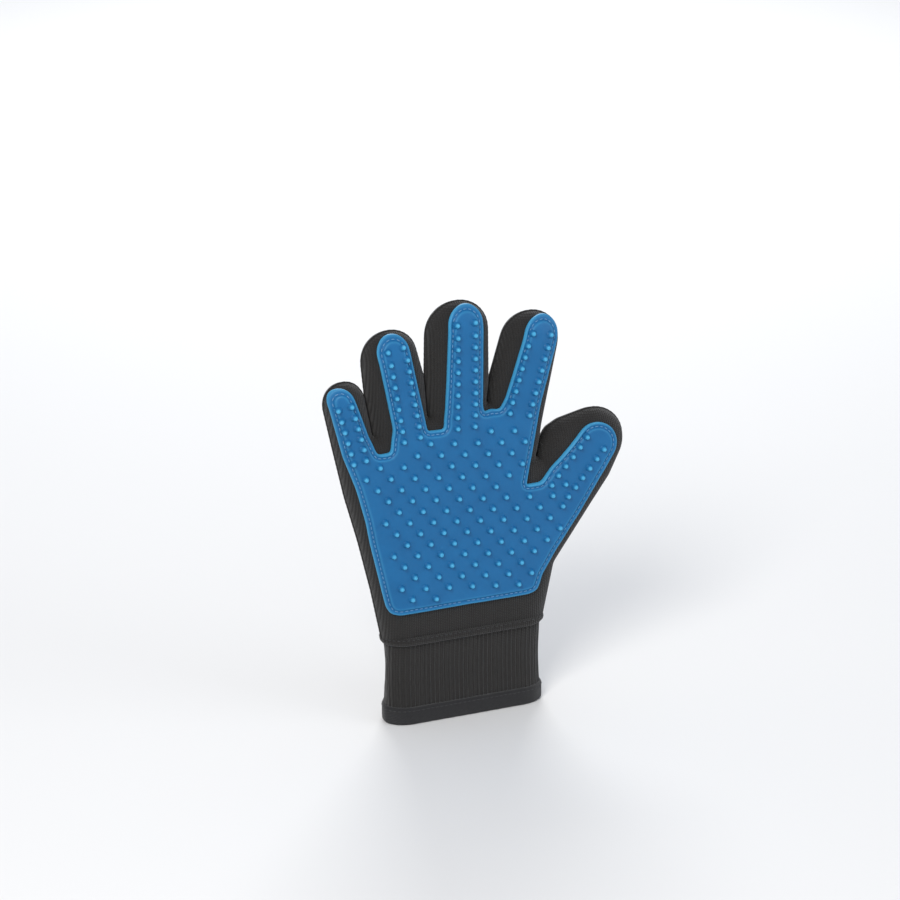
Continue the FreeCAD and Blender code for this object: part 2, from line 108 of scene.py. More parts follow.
digits = {}
for name in DIGITS:
    root, knuckle = (np.array(joints[f"{name}_{part}_bend"]["pos_m"]) / MM for part in ("root", "mid"))
    axis = np.array(joints[f"{name}_root_bend"]["axis"])
    digit = {"root": root[[0, 2]], "across": axis[[0, 2]], "along": np.array([-axis[2], axis[0]])}
    digit["knuckle"] = float(np.linalg.norm(knuckle - root))
    across, along = in_digit(digit, node_points(f"{name}_tip_fabric")[:, [0, 2]])
    digit["end"] = float(along.max())
    digit["radius"] = float(across.max() - across.min()) / 2
    base_across, base_along = in_digit(digit, node_points(f"{name}_base_fabric")[:, [0, 2]])
    digit["half"] = float(np.abs(base_across[base_along < base_along.min() + ROOT_BAND]).max())
    digit["lean"] = math.atan2(-axis[2], axis[0])
    digit["split"] = SPLIT_SHARE * digit["knuckle"]
    digits[name] = digit
knuckle_front = joints["ring_root_bend"]["pos_m"][1] / MM


def tangent_points(centre, radius, outside, side):
    """Where the line from an outside point touches a circle: side is -1 left, +1 right."""
    away = outside - centre
    distance = np.linalg.norm(away)
    turn = side * math.acos(min(1.0, radius / distance))
    cosine, sine = math.cos(turn), math.sin(turn)
    unit = away / distance
    turned = (cosine * unit[0] - sine * unit[1], sine * unit[0] + cosine * unit[1])
    return centre + radius * np.array(turned)


def round_tip(centre, radius, left, right):
    """An arc over a fingertip between the tangents from a left and a right point, clockwise."""
    first = tangent_points(centre, radius, np.asarray(left, float), -1) - centre
    last = tangent_points(centre, radius, np.asarray(right, float), 1) - centre
    start = math.atan2(first[1], first[0])
    stop = math.atan2(last[1], last[0])
    while stop > start:
        stop -= FULL_TURN
    angle = np.linspace(start, stop, 18)
    return centre + radius * np.stack([np.cos(angle), np.sin(angle)], axis=-1)


def smooth_line(corners, step, reach):
    """A line through corners at an even step, its corners rounded by a bell-shaped average."""
    corners = np.vstack(corners)
    length = lengths(corners)
    line = read_off(corners, length, np.linspace(0, length[-1], int(length[-1] / step) + 1))
    width = int(3 * reach / step)
    weights = np.exp(-0.5 * (np.arange(-width, width + 1) * step / reach) ** 2)
    weights /= weights.sum()
    padded = np.vstack([2 * line[0] - line[width:0:-1], line, 2 * line[-1] - line[-2:-width - 2:-1]])
    return np.stack([np.convolve(padded[:, i], weights, "valid") for i in (0, 1)], axis=-1)


# Valleys between neighbours: how far their sides touch above the root line, half the gap there
# and how far the gap reaches under the root line.
TOUCH = {("pinky", "ring"): 22.0, ("ring", "middle"): 21.0, ("middle", "index"): 11.0}
SLIT = 0.45
SLIT_FOOT = 1.5
HEM_HEIGHT = 47.0
HEM_HALF = 45.5
PINKY_SIDE = ((-HEM_HALF, HEM_HEIGHT), (-51.5, 77.0), (-58.4, 106.0), (-65.6, 132.0), (-71.8, 160.0))
THUMB_SIDE = ((83.2, 121.6), (73.5, 108.0), (51.8, 77.0), (HEM_HALF, HEM_HEIGHT))
WEB_LEFT = ((46.6, 168.0), (44.2, 156.0), (43.2, 148.0), (41.0, 138.0))
WEB_RIGHT = ((41.8, 137.4), (43.8, 147.0), (47.5, 152.8), (54.5, 156.6))


def tip_centre(digit):
    return from_digit(digit, 0, digit["end"] - digit["radius"])


def hand_outline():
    """The hand's edge, from the cuff's little-finger side over the tips to its thumb side."""
    corners = [np.array(PINKY_SIDE)]
    left = np.array(PINKY_SIDE[-1])
    for name, after in zip(DIGITS[:3], DIGITS[1:4]):
        digit, neighbour = digits[name], digits[after]
        right_root = from_digit(digit, digit["half"], 0)
        left_root = from_digit(neighbour, -neighbour["half"], 0)
        valley = (right_root + left_root) / 2
        lean = (digit["lean"] + neighbour["lean"]) / 2
        up = np.array([math.sin(lean), math.cos(lean)])
        aside = SLIT * np.array([math.cos(lean), -math.sin(lean)])
        notch, foot = valley + TOUCH[(name, after)] * up, valley - SLIT_FOOT * up
        corners.append(round_tip(tip_centre(digit), digit["radius"], left, notch - aside))
        corners.append([notch - aside, foot - aside, foot + aside, notch + aside])
        left = notch + aside
    digit = digits["index"]
    corners.append(round_tip(tip_centre(digit), digit["radius"], left, WEB_LEFT[0]))
    corners.append(WEB_LEFT)
    corners.append(WEB_RIGHT)
    digit = digits["thumb"]
    corners.append(round_tip(tip_centre(digit), digit["radius"], WEB_RIGHT[-1], THUMB_SIDE[0]))
    corners.append(THUMB_SIDE)
    return smooth_line(corners, 1.0, 1.1)


outline = hand_outline()

# Crown of the filled hand: the width of its rounded edge, the power of that edge's curve, the
# height of its front and back, and the swell of the back over the knuckles and wrist.
SHOULDER = 15.5
SHOULDER_POWER = 2.6
FRONT_HIGH = 9.0
BACK_HIGH = 9.3
BACK_SWELL = 3.2
SWELL_MIDDLE, SWELL_HALF = (-4, 100), 58
SWELL_BELOW, SWELL_ABOVE = 130, 48
# Folds fade out over this distance from the edge. Creases lie across the root and the knuckle.
FOLD_FADE = 7
CREASE_REACH = 8
CREASE_PITCH = 8.5
CREASE_DEPTH = {-1: 0.05, 1: 0.16}
NEAREST_BLOCK = 2000


def nearest(points, line):
    """Distance from each point to a line, and the direction away from it."""
    start, step = line[:-1], np.diff(line, axis=0)
    square = np.maximum((step ** 2).sum(axis=1), 1e-12)
    best = np.full(len(points), np.inf)
    away = np.zeros((len(points), 2))
    for low in range(0, len(points), NEAREST_BLOCK):
        part_of = slice(low, low + NEAREST_BLOCK)
        block = points[part_of, None, :]
        part = np.clip(((block - start) * step).sum(axis=2) / square, 0, 1)
        gap = block - (start + part[..., None] * step)
        distance = np.sqrt((gap ** 2).sum(axis=2))
        pick = distance.argmin(axis=1)
        rows = np.arange(len(pick))
        best[part_of] = distance[rows, pick]
        away[part_of] = gap[rows, pick]
    return best, away / np.maximum(best, 1e-9)[:, None]


def wrinkles(points, side):
    """Soft uneven swells, and short creases at each root and knuckle."""
    x, z = points.T
    swell = 0.22 * np.sin(x / 9 + 1.7 * np.sin(z / 21 + side)) * np.sin(z / 13 + 1.3 * np.sin(x / 17))
    swell += 0.10 * np.sin(x / 3.7 + z / 5.1 + side) * np.sin(z / 4.3 - x / 8.5)
    for digit in digits.values():
        across, along = in_digit(digit, points)
        middle = np.exp(-(across / digit["half"]) ** 4)
        for place in (0.0, digit["knuckle"]):
            near = np.exp(-((along - place) / CREASE_REACH) ** 2) * middle
            swell += CREASE_DEPTH[side] * near * np.cos(FULL_TURN * (along - place) / CREASE_PITCH)
    return swell


def crown(points, side):
    """Height of the fabric over the middle plane and its outward normal, for points (x, z).

    side is -1 for the palm side and +1 for the back, which swells over the knuckles.
    """
    distance, away = nearest(points, outline)
    share = np.clip(distance / SHOULDER, 0, 1)
    top = np.full(len(points), FRONT_HIGH)
    if side > 0:
        aside, above = (points - SWELL_MIDDLE).T
        low = np.clip(-above / SWELL_BELOW, 0, None)
        high = np.clip(above / SWELL_ABOVE, 0, None)
        bell = (aside / SWELL_HALF) ** 2 + low ** 2 + high ** 2
        top = BACK_HIGH + BACK_SWELL * np.exp(-bell ** 2)
    rise = np.sqrt(1 - (1 - share) ** SHOULDER_POWER)
    height = top * rise + wrinkles(points, side) * np.clip(distance / FOLD_FADE, 0, 1)
    steep = SHOULDER_POWER / 2 * (1 - share) ** (SHOULDER_POWER - 1) / np.maximum(rise, 0.06)
    slope = steep / SHOULDER * top
    facing = np.full(len(points), float(side))
    normal = np.stack([-slope * away[:, 0], facing, -slope * away[:, 1]], axis=-1)
    return height, normal / np.linalg.norm(normal, axis=1)[:, None]


def crossings(line, digit, level):
    """Where a line crosses a level across a digit: two places along the line, as point numbers.

    Where the valley beside the digit ends above the level, the place is the bottom of the valley.
    """
    across, along = in_digit(digit, line)
    near = np.where(np.abs(across) < 0.5 * digit["half"], along, -np.inf)
    height = line[:, 1]
    bottom = np.zeros(len(line), dtype=bool)
    bottom[1:-1] = (height[:-2] >= height[1:-1]) & (height[1:-1] < height[2:])
    ends = []
    for step in (-1, 1):
        place = int(near.argmax())
        while along[place] >= level and not bottom[place]:
            place += step
        past = max((level - along[place]) / (along[place - step] - along[place]), 0.0)
        ends.append(place - step * past if along[place] < level else float(place))
    return ends


def stretch(line, first, last):
    """The part of a line between two places given as point numbers, with both ends."""
    index = np.arange(len(line))
    inner = index[(index > first + 0.05) & (index < last - 0.05)]
    return read_off(line, index, np.concatenate([[first], inner, [last]]))


CUT_POINTS = 23


def cut_line(line, digit, level):
    """Evenly eased points across a digit at a level, from its left edge to its right edge."""
    first, last = read_off(line, np.arange(len(line)), crossings(line, digit, level))
    share = (1 - np.cos(np.linspace(0, math.pi, CUT_POINTS))) / 2
    return first + share[:, None] * (last - first)


def cut_regions(line, bottom):
    """The hand's area and each digit's two areas inside a line, as closed outlines."""
    areas = {}
    hand, place = [], 0.0
    for name, digit in digits.items():
        low, high = crossings(line, digit, 0), crossings(line, digit, digit["split"])
        root, middle = cut_line(line, digit, 0), cut_line(line, digit, digit["split"])
        hand += [stretch(line, place, low[0])[:-1], root]
        place = low[1]
        left, right = stretch(line, low[0], high[0])[:-1], stretch(line, high[1], low[1])[1:]
        areas[f"{name}_base"] = np.vstack([left, middle, right, root[-2:0:-1]])
        areas[f"{name}_tip"] = np.vstack([stretch(line, *high), middle[-2:0:-1]])
    hand += [stretch(line, place, len(line) - 1)[1:], bottom]
    areas["palm"] = np.vstack(hand)
    return areas


def inside(points, area):
    """True for points inside a closed outline, by the even-odd rule."""
    x, z = points.T[:, :, None]
    ax, az = area.T
    bx, bz = np.roll(area, -1, axis=0).T
    cross = (az > z) != (bz > z)
    with np.errstate(divide="ignore", invalid="ignore"):
        hit = x < (bx - ax) * (z - az) / (bz - az) + ax
    return (cross & hit).sum(axis=1) % 2 == 1


# Height of a row of a triangular lattice, as a share of its spacing.
ROW_SHARE = 0.87


def fill(area, line, rings, spacing):
    """Flat triangles over an area: its outline, inset copies of the line, and a lattice."""
    inward = to_right(np.gradient(line, axis=0))
    points = []
    for ring in rings:
        moved = line + ring * inward
        distance, _ = nearest(moved, line)
        points.append(moved[distance > 0.98 * ring])
    low, high = area.min(axis=0), area.max(axis=0)
    rows = np.arange(low[1], high[1], spacing * ROW_SHARE)
    columns = np.arange(low[0], high[0] + spacing, spacing)
    lattice = np.stack(np.meshgrid(columns, rows), axis=-1)
    lattice[1::2, :, 0] += spacing / 2
    lattice = lattice.reshape(-1, 2)
    distance, _ = nearest(lattice, line)
    points.append(lattice[distance > rings[-1] + 0.45 * spacing])
    points = np.vstack(points)
    points = points[inside(points, area)]
    distance, _ = nearest(points, np.vstack([area, area[:1]]))
    points = points[distance > np.minimum(0.12 * spacing, 0.5 * rings[0] + 0.05)]
    everything = [Vector(point) for point in np.vstack([area, points])]
    result = delaunay_2d_cdt(everything, [], [list(range(len(area)))], 1, 1e-6)
    flat = np.array([vertex[:] for vertex in result[0]])
    faces = np.array(result[2])
    corner, second, third = (flat[faces[:, i]] for i in range(3))
    (ax, az), (bx, bz) = (second - corner).T, (third - corner).T
    wrong = ax * bz - az * bx < 0
    faces[wrong] = faces[wrong][:, ::-1]
    return flat, faces


def slab(faces, outer, inner, side):
    """A closed sheet between an outer and an inner surface over the same flat triangles."""
    count = len(outer)
    edges = np.vstack([faces[:, [0, 1]], faces[:, [1, 2]], faces[:, [2, 0]]])
    key = edges.min(axis=1) * count + edges.max(axis=1)
    _, place, total = np.unique(key, return_index=True, return_counts=True)
    rim = edges[place[total == 1]]
    first, last = rim.T
    walls = np.vstack([
        np.stack([last, first, first + count], axis=-1),
        np.stack([last, first + count, last + count], axis=-1)])
    everything = np.vstack([faces, faces[:, ::-1] + count, walls])
    if side > 0:
        everything = everything[:, ::-1]
    return np.vstack([outer, inner]), everything


SHARP = math.radians(62.0)


def make_piece(name, points, faces, material):
    """An object from points in millimetres, smooth except where faces meet at a sharp angle."""
    mesh = bpy.data.meshes.new(name)
    mesh.from_pydata((np.asarray(points) * MM).tolist(), [], [list(map(int, face)) for face in faces])
    mesh.validate()
    piece = bpy.data.objects.new(name, mesh)
    bpy.context.scene.collection.objects.link(piece)
    mesh.materials.append(material)
    mesh.polygons.foreach_set("use_smooth", np.full(len(mesh.polygons), True))
    mesh.set_sharp_from_angle(angle=SHARP)
    return piece


def face_outwards(piece, weld=False):
    """Turns a closed piece's faces outwards; weld first merges the points that coincide."""
    work = bmesh.new()
    work.from_mesh(piece.data)
    if weld:
        bmesh.ops.remove_doubles(work, verts=work.verts, dist=1e-6)
    bmesh.ops.recalc_face_normals(work, faces=work.faces)
    work.to_mesh(piece.data)
    work.free()


def attach(piece, body, slot, *nodes):
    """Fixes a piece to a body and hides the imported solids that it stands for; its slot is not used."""
    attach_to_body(piece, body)
    if nodes:
        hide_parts(*nodes)


def grid_faces(rows, columns):
    """Four-sided faces round a grid of points, whose last column joins its first."""
    row, column = np.meshgrid(np.arange(rows - 1), np.arange(columns), indexing="ij")
    low, high, after = row * columns, (row + 1) * columns, (column + 1) % columns
    return np.stack([low + column, low + after, high + after, high + column], axis=-1).reshape(-1, 4)


def tube_faces(rows, columns):
    """Faces of a closed tube: a grid round it and a cap on each end."""
    count = rows * columns
    return [*grid_faces(rows, columns), range(columns - 1, -1, -1), range(count - columns, count)]


def repeated(faces, size, count, start=0):
    """Copies of faces over count runs of points, each of this size, after the start."""
    return [[index + start + size * number for index in face] for number in range(count) for face in faces]


def circles(angle, side, other):
    """A unit circle in the plane of each pair of directions."""
    return (np.cos(angle)[:, None] * side[:, None, None]
            + np.sin(angle)[:, None] * other[:, None, None])


class Value:
    """One number of a shader, so that a pattern is written as a sum."""

    def __init__(self, finish, socket):
        self.finish, self.socket = finish, socket

    def math(self, operation, *others):
        return self.finish.node("ShaderNodeMath", {"operation": operation}, self, *others)

    def __add__(self, other):
        return self.math("ADD", other)

    def __sub__(self, other):
        return self.math("SUBTRACT", other)

    def __rsub__(self, other):
        return (self * -1.0) + other

    def __mul__(self, other):
        return self.math("MULTIPLY", other)

    def __pow__(self, other):
        return self.math("POWER", other)

    __radd__ = __add__
    __rmul__ = __mul__

    def sine(self):
        return self.math("SINE")

    def size(self):
        return self.math("ABSOLUTE")

    def between(self, low, high):
        """0 below low, 1 above high and a smooth step from one to the other."""
        settings = {"interpolation_type": "SMOOTHSTEP"}
        return self.finish.node("ShaderNodeMapRange", settings, self, low, high, 0.0, 1.0)


class Finish:
    """One material: a Principled shader with the node calls that its pattern needs."""

    def __init__(self, name, roughness, **sockets):
        self.material = bpy.data.materials.new(name)
        self.material.use_nodes = True
        self.tree = self.material.node_tree
        self.shader = self.tree.nodes["Principled BSDF"]
        self.shader.inputs["Roughness"].default_value = roughness
        for socket, value in sockets.items():
            self.shader.inputs[socket.replace("_", " ")].default_value = value
        self.place = self.node("ShaderNodeTexCoord", {}, output="Object")

    def node(self, kind, settings, *values, output=0):
        """Adds a node with its inputs: numbers, colours or other nodes' outputs."""
        node = self.tree.nodes.new(kind)
        for name, value in settings.items():
            setattr(node, name, value)
        for socket, value in zip(node.inputs, values):
            if isinstance(value, Value):
                self.tree.links.new(value.socket, socket)
            elif value is not None:
                socket.default_value = value
        return Value(self, node.outputs[output])

    def axes(self):
        """The three coordinates in millimetres."""
        split = self.node("ShaderNodeSeparateXYZ", {}, self.place).socket.node
        return [Value(self, split.outputs[i]) * (1 / MM) for i in range(3)]

    def noise(self, cell, detail=3.0, roughness=0.55):
        """Cloudy noise from 0 to 1 whose cells are this many millimetres wide."""
        values = (self.place, None, 1 / (cell * MM), detail, roughness)
        return self.node("ShaderNodeTexNoise", {}, *values)

    def blend_colours(self, share, first, second):
        """A colour between two colours."""
        colours = (value if isinstance(value, Value) else (*value, 1.0) for value in (first, second))
        unused = [None] * 5
        return self.node("ShaderNodeMix", {"data_type": "RGBA"}, share, *unused, *colours, output=2)

    def colour(self, share, first, second):
        """Gives the shader a colour between two colours."""
        value = self.blend_colours(share, first, second)
        self.tree.links.new(value.socket, self.shader.inputs["Base Color"])

    def bump(self, height, depth):
        """A relief whose height of 1 stands depth millimetres proud."""
        node = self.tree.nodes.new("ShaderNodeBump")
        node.inputs["Strength"].default_value = 1.0
        node.inputs["Distance"].default_value = depth * MM
        self.tree.links.new(height.socket, node.inputs["Height"])
        self.tree.links.new(node.outputs["Normal"], self.shader.inputs["Normal"])


# ---- Palm-side knit ----
# The palm side of the hand and digits is one panel of black stretch knit in plain stockinette.
# It shows as a dark margin round the rubber and between the fingers.

KNIT_DARK = (0.0115, 0.0108, 0.0102)
KNIT_LIGHT = (0.030, 0.0285, 0.027)
WALE = 1.25
COURSE = 0.95


def knit_finish(name):
    """Stockinette: along each wale the loops lean in two opposite slants, like a plait."""
    finish = Finish(name, 0.86, Sheen_Weight=0.22, Sheen_Roughness=0.45, Specular_IOR_Level=0.22)
    across, _, along = finish.axes()
    wale = (across * (math.pi / WALE)).sine().size()
    slant = (across * (1 / WALE)).math("PINGPONG", 0.5)
    loop = ((along * (1 / COURSE) + slant) * FULL_TURN).sine() * 0.5 + 0.5
    loops = wale ** 0.6 * (loop * 0.6 + 0.4)
    fluff = finish.noise(3.2, 5.0, 0.7)
    finish.colour(loops * 0.55 + fluff * 0.45, KNIT_DARK, KNIT_LIGHT)
    finish.bump(loops + fluff * 0.5, 0.35)
    return finish.material


knit = knit_finish("palm_side_knit")
FABRIC_RINGS = (0.12, 0.5, 1.1, 2.0, 3.2, 4.8, 7.0, 9.6, 12.6)
FABRIC_THICK = 1.3
PANEL_SPACING = 3.2
DIGIT_SPACING = 2.4
HEM_POINTS = 40
hem = np.stack([np.linspace(HEM_HALF, -HEM_HALF, HEM_POINTS), np.full(HEM_POINTS, HEM_HEIGHT)], axis=-1)
hand_areas = cut_regions(outline, hem[1:-1])


def place_on(points, heights, normal, side, lift):
    """Points in space: the fabric's outer face, lifted along its normal."""
    flat = np.stack([points[:, 0], side * heights, points[:, 1]], axis=-1)
    return flat + np.asarray(lift)[..., None] * normal


def fabric_sheet(area, side, spacing):
    """A closed fabric sheet over an area, crowned outwards and thin at its side seam."""
    flat, faces = fill(hand_areas[area], outline, FABRIC_RINGS, spacing)
    height, normal = crown(flat, side)
    outer = place_on(flat, height, normal, side, 0.0)
    inner = place_on(flat, np.maximum(height - FABRIC_THICK, 0), normal, side, 0.0)
    return slab(faces, outer, inner, side)


def in_metres(flat):
    """A point (x, z) on the knuckle lines' plane, in metres."""
    return (float(flat[0]) * MM, knuckle_front * MM, float(flat[1]) * MM)


KNUCKLE_HALF = 9.0


def bend_piece(piece, name, part):
    """Bakes a piece's transform; the span of its digit's root joint or knuckle joint is worked out but not
    used.
    """
    digit = digits[name]
    if part == "base":
        span = (0.0, digit["split"])
    else:
        half = min(KNUCKLE_HALF, digit["knuckle"] - digit["split"])
        span = (digit["knuckle"] - half, digit["knuckle"] + half)
    start, end = (in_metres(from_digit(digit, 0, place)) for place in span)
    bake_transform(piece)


def cover_digits(kind, side, material):
    """The base and tip pieces of one face of every digit."""
    for name in DIGITS:
        for part in ("base", "tip"):
            sheet = fabric_sheet(f"{name}_{part}", side, DIGIT_SPACING)
            piece = make_piece(f"{name}_{part}_{kind}", *sheet, material)
            bend_piece(piece, name, part)
            flex = "root_flex" if part == "base" else "mid_flex"
            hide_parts(f"{name}_{part}_fabric", f"{name}_{flex}_fabric")


palm_side = make_piece("palm_side_panel", *fabric_sheet("palm", -1, PANEL_SPACING), knit)
attach(palm_side, "palm", "palm_side_knit", "hand_palm_fabric")
cover_digits("palm_side", -1, knit)

# ---- Back mesh ----
# The back of the hand and digits is one panel of black air mesh: a knit with rows of small
# holes that lets the hand breathe, sewn to the palm side all round.

MESH_PITCH = 2.1
YARN_PITCH = 0.55
# Near black of the holes, darker than the yarn: painted shade in the mesh's openings.
HOLE_SHADE = (0.004, 0.004, 0.004)


def mesh_finish(name):
    """Holes in a triangular lattice: the sum of three cosines 60 degrees apart is high there."""
    finish = Finish(name, 0.84, Sheen_Weight=0.25, Sheen_Roughness=0.4, Specular_IOR_Level=0.22)
    across, _, along = finish.axes()
    waves = 0.0
    for turn in (0, 60, 120):
        angle = math.radians(turn)
        way = across * math.cos(angle) + along * math.sin(angle)
        waves = (way * (FULL_TURN / MESH_PITCH) + math.pi / 2).sine() + waves
    hole = waves.between(0.4, 1.9)
    yarn = (along * (FULL_TURN / YARN_PITCH) + across * 3.0).sine() * 0.5 + 0.5
    fluff = finish.noise(2.6, 4.0, 0.65)
    solid = 1.0 - hole
    finish.colour(solid * (yarn * 0.25 + fluff * 0.75), HOLE_SHADE, KNIT_LIGHT)
    finish.bump(solid * (yarn * 0.2 + 0.8), 0.45)
    return finish.material


mesh_cloth = mesh_finish("back_mesh")
back_panel = make_piece("back_panel", *fabric_sheet("palm", 1, PANEL_SPACING), mesh_cloth)
attach(back_panel, "palm", "back_mesh", "hand_back_fabric")
cover_digits("back_side", 1, mesh_cloth)

# ---- Side seam ----
# The two panels are overlocked together all round: a thin rolled ridge of thread along the
# outline, split where the digits bend.

SEAM_RADIUS = 0.6
SEAM_SIDES = 8


def place_edge(piece, digit_part, palm_slot):
    """Passes a piece to bend_piece for its digit's part, which only bakes its transform, or fixes it to the
    palm.
    """
    if digit_part:
        bend_piece(piece, *digit_part)
    else:
        attach(piece, "palm", palm_slot)


def add_seam(name, first, last, digit_part=None):
    """A round tube along part of the outline."""
    path = stretch(outline, first, last)
    out = -to_right(np.gradient(path, axis=0))
    angle = np.linspace(0, FULL_TURN, SEAM_SIDES, endpoint=False)
    grow = (SEAM_RADIUS * (1 + 0.10 * np.sin(np.arange(len(path)) * 2.2)))[:, None]
    x, z = (path[:, None, i] + grow * np.cos(angle) * out[:, None, i] for i in (0, 1))
    points = np.stack([x, grow * np.sin(angle), z], axis=-1).reshape(-1, 3)
    piece = make_piece(name, points, tube_faces(len(path), SEAM_SIDES), knit)
    face_outwards(piece)
    place_edge(piece, digit_part, "palm_side_knit")


def along_edge(line, add, parts):
    """Adds a piece for each stretch of a line: on the palm, and beside and over each digit."""
    place = 0.0
    for name, digit in digits.items():
        low, high = crossings(line, digit, 0), crossings(line, digit, digit["split"])
        names = [f"{name}_{part}" for part in parts]
        add(names[0], place, low[0])
        add(names[1], low[0], high[0], (name, "base"))
        add(names[2], *high, (name, "tip"))
        add(names[3], high[1], low[1], (name, "base"))
        place = low[1]
    return place


last_seam = along_edge(outline, add_seam, ("palm_seam", "base_left_seam", "tip_seam", "base_right_seam"))
add_seam("thumb_side_seam", last_seam, len(outline) - 1)

# ---- Rubber palm ----
# One moulding of blue silicone rubber covers the palm and runs as a strip to each tip. Its rim
# is a rounded bead, then a stitched channel, then a second low ridge round the field of nubs.

RUBBER_THICK = 1.7
RUBBER_SUNK = 0.5
PALM_SPACING = 3.0
STRIP_SPACING = 2.2
# Across the rim: distance in from the edge, height over the fabric and painted highlight, lighter over the
# bead and the second ridge and none in the channel.
RIM_PLACES = (0.0, 0.25, 0.6, 1.0, 1.4, 1.9, 2.6, 3.0, 3.4, 3.9, 4.8)
RIM_HEIGHTS = (-0.35, 1.15, 1.8, 2.05, 1.85, 1.15, 1.05, 1.55, 1.95, 1.85, 1.7)
RIM_HIGHLIGHTS = (0.65, 0.75, 0.6, 0.4, 0.22, 0.08, 0.0, 0.15, 0.36, 0.2, 0.0)
RUBBER_RINGS = (0.28, 0.65, 1.05, 1.45, 1.9, 2.6, 3.05, 3.45, 3.95, 4.8)
# Strip on each digit: half width at the root and at the tip, its shift towards the thumb at the
# root and at the tip, and how far it stops short of the fingertip.
STRIPS = {
    "pinky": (7.5, 6.4, -1.1, -2.6, 0.9),
    "ring": (8.9, 8.6, 2.2, 0.3, 0.7),
    "middle": (10.3, 9.6, 0.6, 1.8, 0.9),
    "index": (10.1, 9.5, 0.1, 2.2, 0.7),
    "thumb": (13.0, 11.9, -1.8, -1.0, 6.0),
}
STRIP_FOOT = 2.0
PINKY_RIM = ((-4.5, 64.0), (-39.8, 64.0), (-43.9, 65.6), (-46.0, 69.5),
             (-54.4, 106.0), (-57.0, 119.0), (-62.2, 138.4), (-68.4, 156.6))
VALLEYS = (((-50.4, 155.6), (-43.4, 155.6)), ((-22.8, 164.2), (-13.6, 164.2)),
           ((8.6, 170.2), (18.2, 170.2)), ((32.4, 126.4), (40.8, 126.4)))
THUMB_RIM = ((64.0, 107.5), (49.0, 86.0), (41.5, 74.0), (40.2, 69.4),
             (38.4, 65.6), (34.0, 64.0), (-3.5, 64.0))


def rubber_outline():
    """The moulding's edge, clockwise from the middle of its lower edge over every strip."""
    corners = [np.array(PINKY_RIM)]
    for number, (name, (low, high, low_shift, high_shift, short)) in enumerate(STRIPS.items()):
        digit = digits[name]
        centre = from_digit(digit, high_shift, digit["end"] - short - high)
        left, right = (from_digit(digit, low_shift + side, STRIP_FOOT) for side in (-low, low))
        if number:
            corners.append([left])
        corners.append(round_tip(centre, high, left, right))
        if name == "thumb":
            corners.append(THUMB_RIM)
        else:
            corners += [[right], VALLEYS[number]]
    return smooth_line(corners, 1.0, 1.3)


rubber_line = rubber_outline()
rubber_areas = cut_regions(rubber_line, np.empty((0, 2)))
rubber_rim = np.vstack([rubber_line, rubber_line[:1]])


def rubber_finish(name):
    """Blue silicone with a fine moulded grain, with a painted highlight on the beads and nub tips and
    painted shade round the nubs' feet.
    """
    finish = Finish(name, 0.42, Specular_IOR_Level=0.3)
    light_share = finish.node("ShaderNodeAttribute", {"attribute_name": "painted_light"}, output="Fac")
    cloud = finish.noise(14.0, 4.0, 0.6)
    grain = finish.noise(0.55, 2.0, 0.6)
    deep = finish.blend_colours(cloud, (0.004, 0.098, 0.262), (0.009, 0.148, 0.360))
    # Painted highlight colour for the rim's bead and ridge and the nubs' tips; the last colour below is
    # painted shade for the nubs' feet.
    highlight_colour = finish.blend_colours(light_share.between(0.0, 1.0), deep, (0.062, 0.370, 0.630))
    finish.colour((light_share * -1.0).between(0.0, 1.0), highlight_colour, (0.003, 0.050, 0.145))
    roughness = cloud * 0.14 + grain * 0.10 + 0.34
    finish.tree.links.new(roughness.socket, finish.shader.inputs["Roughness"])
    finish.bump(grain * 0.6 + cloud * 0.4, 0.16)
    return finish.material


rubber = rubber_finish("blue_rubber")
# Nub rings from foot to tip: radius, height and painted light, with painted shade at the foot and a painted
# highlight on the tip.
NUB_RADII = (2.3, 1.95, 1.6, 1.32, 1.08, 0.82, 0.45)
NUB_HEIGHTS = (-0.3, 0.2, 0.75, 1.35, 1.95, 2.36, 2.6)
NUB_LIGHT_AND_SHADE = (-0.3, -0.2, 0.0, 0.35, 0.7, 0.95, 1.0)
NUB_SIDES = 12
PALM_PITCH = 13.3
PALM_ROW = 6.15
PALM_TURN = math.radians(7.0)
PALM_START = (-9.0, 156.6)
STRIP_PITCH = 6.2
# Least distances: of a palm nub from the rim and from the strips' nubs, and of a strip's nub from
# the end of the strip.
RIM_GAP = 5.6
NUB_GAP = 5.0
END_GAP = 3.9
# Two rows of nubs on each digit: their middle's shift towards the thumb at the root and at the
# tip, half the distance between them, and their first and last places along the digit. The first
# ones stand on the palm.
ROWS = {
    "pinky": (-1.5, -2.5, 2.8, -8.6, 26.0),
    "ring": (1.7, 1.4, 4.3, -5.0, 45.0),
    "middle": (0.9, 1.2, 4.7, -8.2, 52.6),
    "index": (-1.1, 1.2, 5.4, -5.0, 43.0),
    "thumb": (-3.4, -2.6, 6.3, -5.2, 30.0),
}


def row_places(name, lowest, highest):
    """The nubs of a digit's two rows between two places along it."""
    digit = digits[name]
    low_middle, high_middle, spread, first, last = ROWS[name]
    along = np.arange(first, last, STRIP_PITCH)
    along = np.repeat(along[(along >= lowest) & (along < highest)], 2)
    side = np.where(np.arange(len(along)) % 2, 1.0, -1.0)
    middle = low_middle + (high_middle - low_middle) * np.clip(along / digit["end"], 0, 1)
    _, radius, _, shift, short = STRIPS[name]
    above = np.clip(along - (digit["end"] - short - radius), 0, None)
    room = np.maximum(np.sqrt(np.clip(radius ** 2 - above ** 2, 0, None)) - END_GAP, 0)
    room[above <= 0] = np.inf
    across = np.clip(middle + side * spread, shift - room, shift + room)
    return from_digit(digit, across, along)


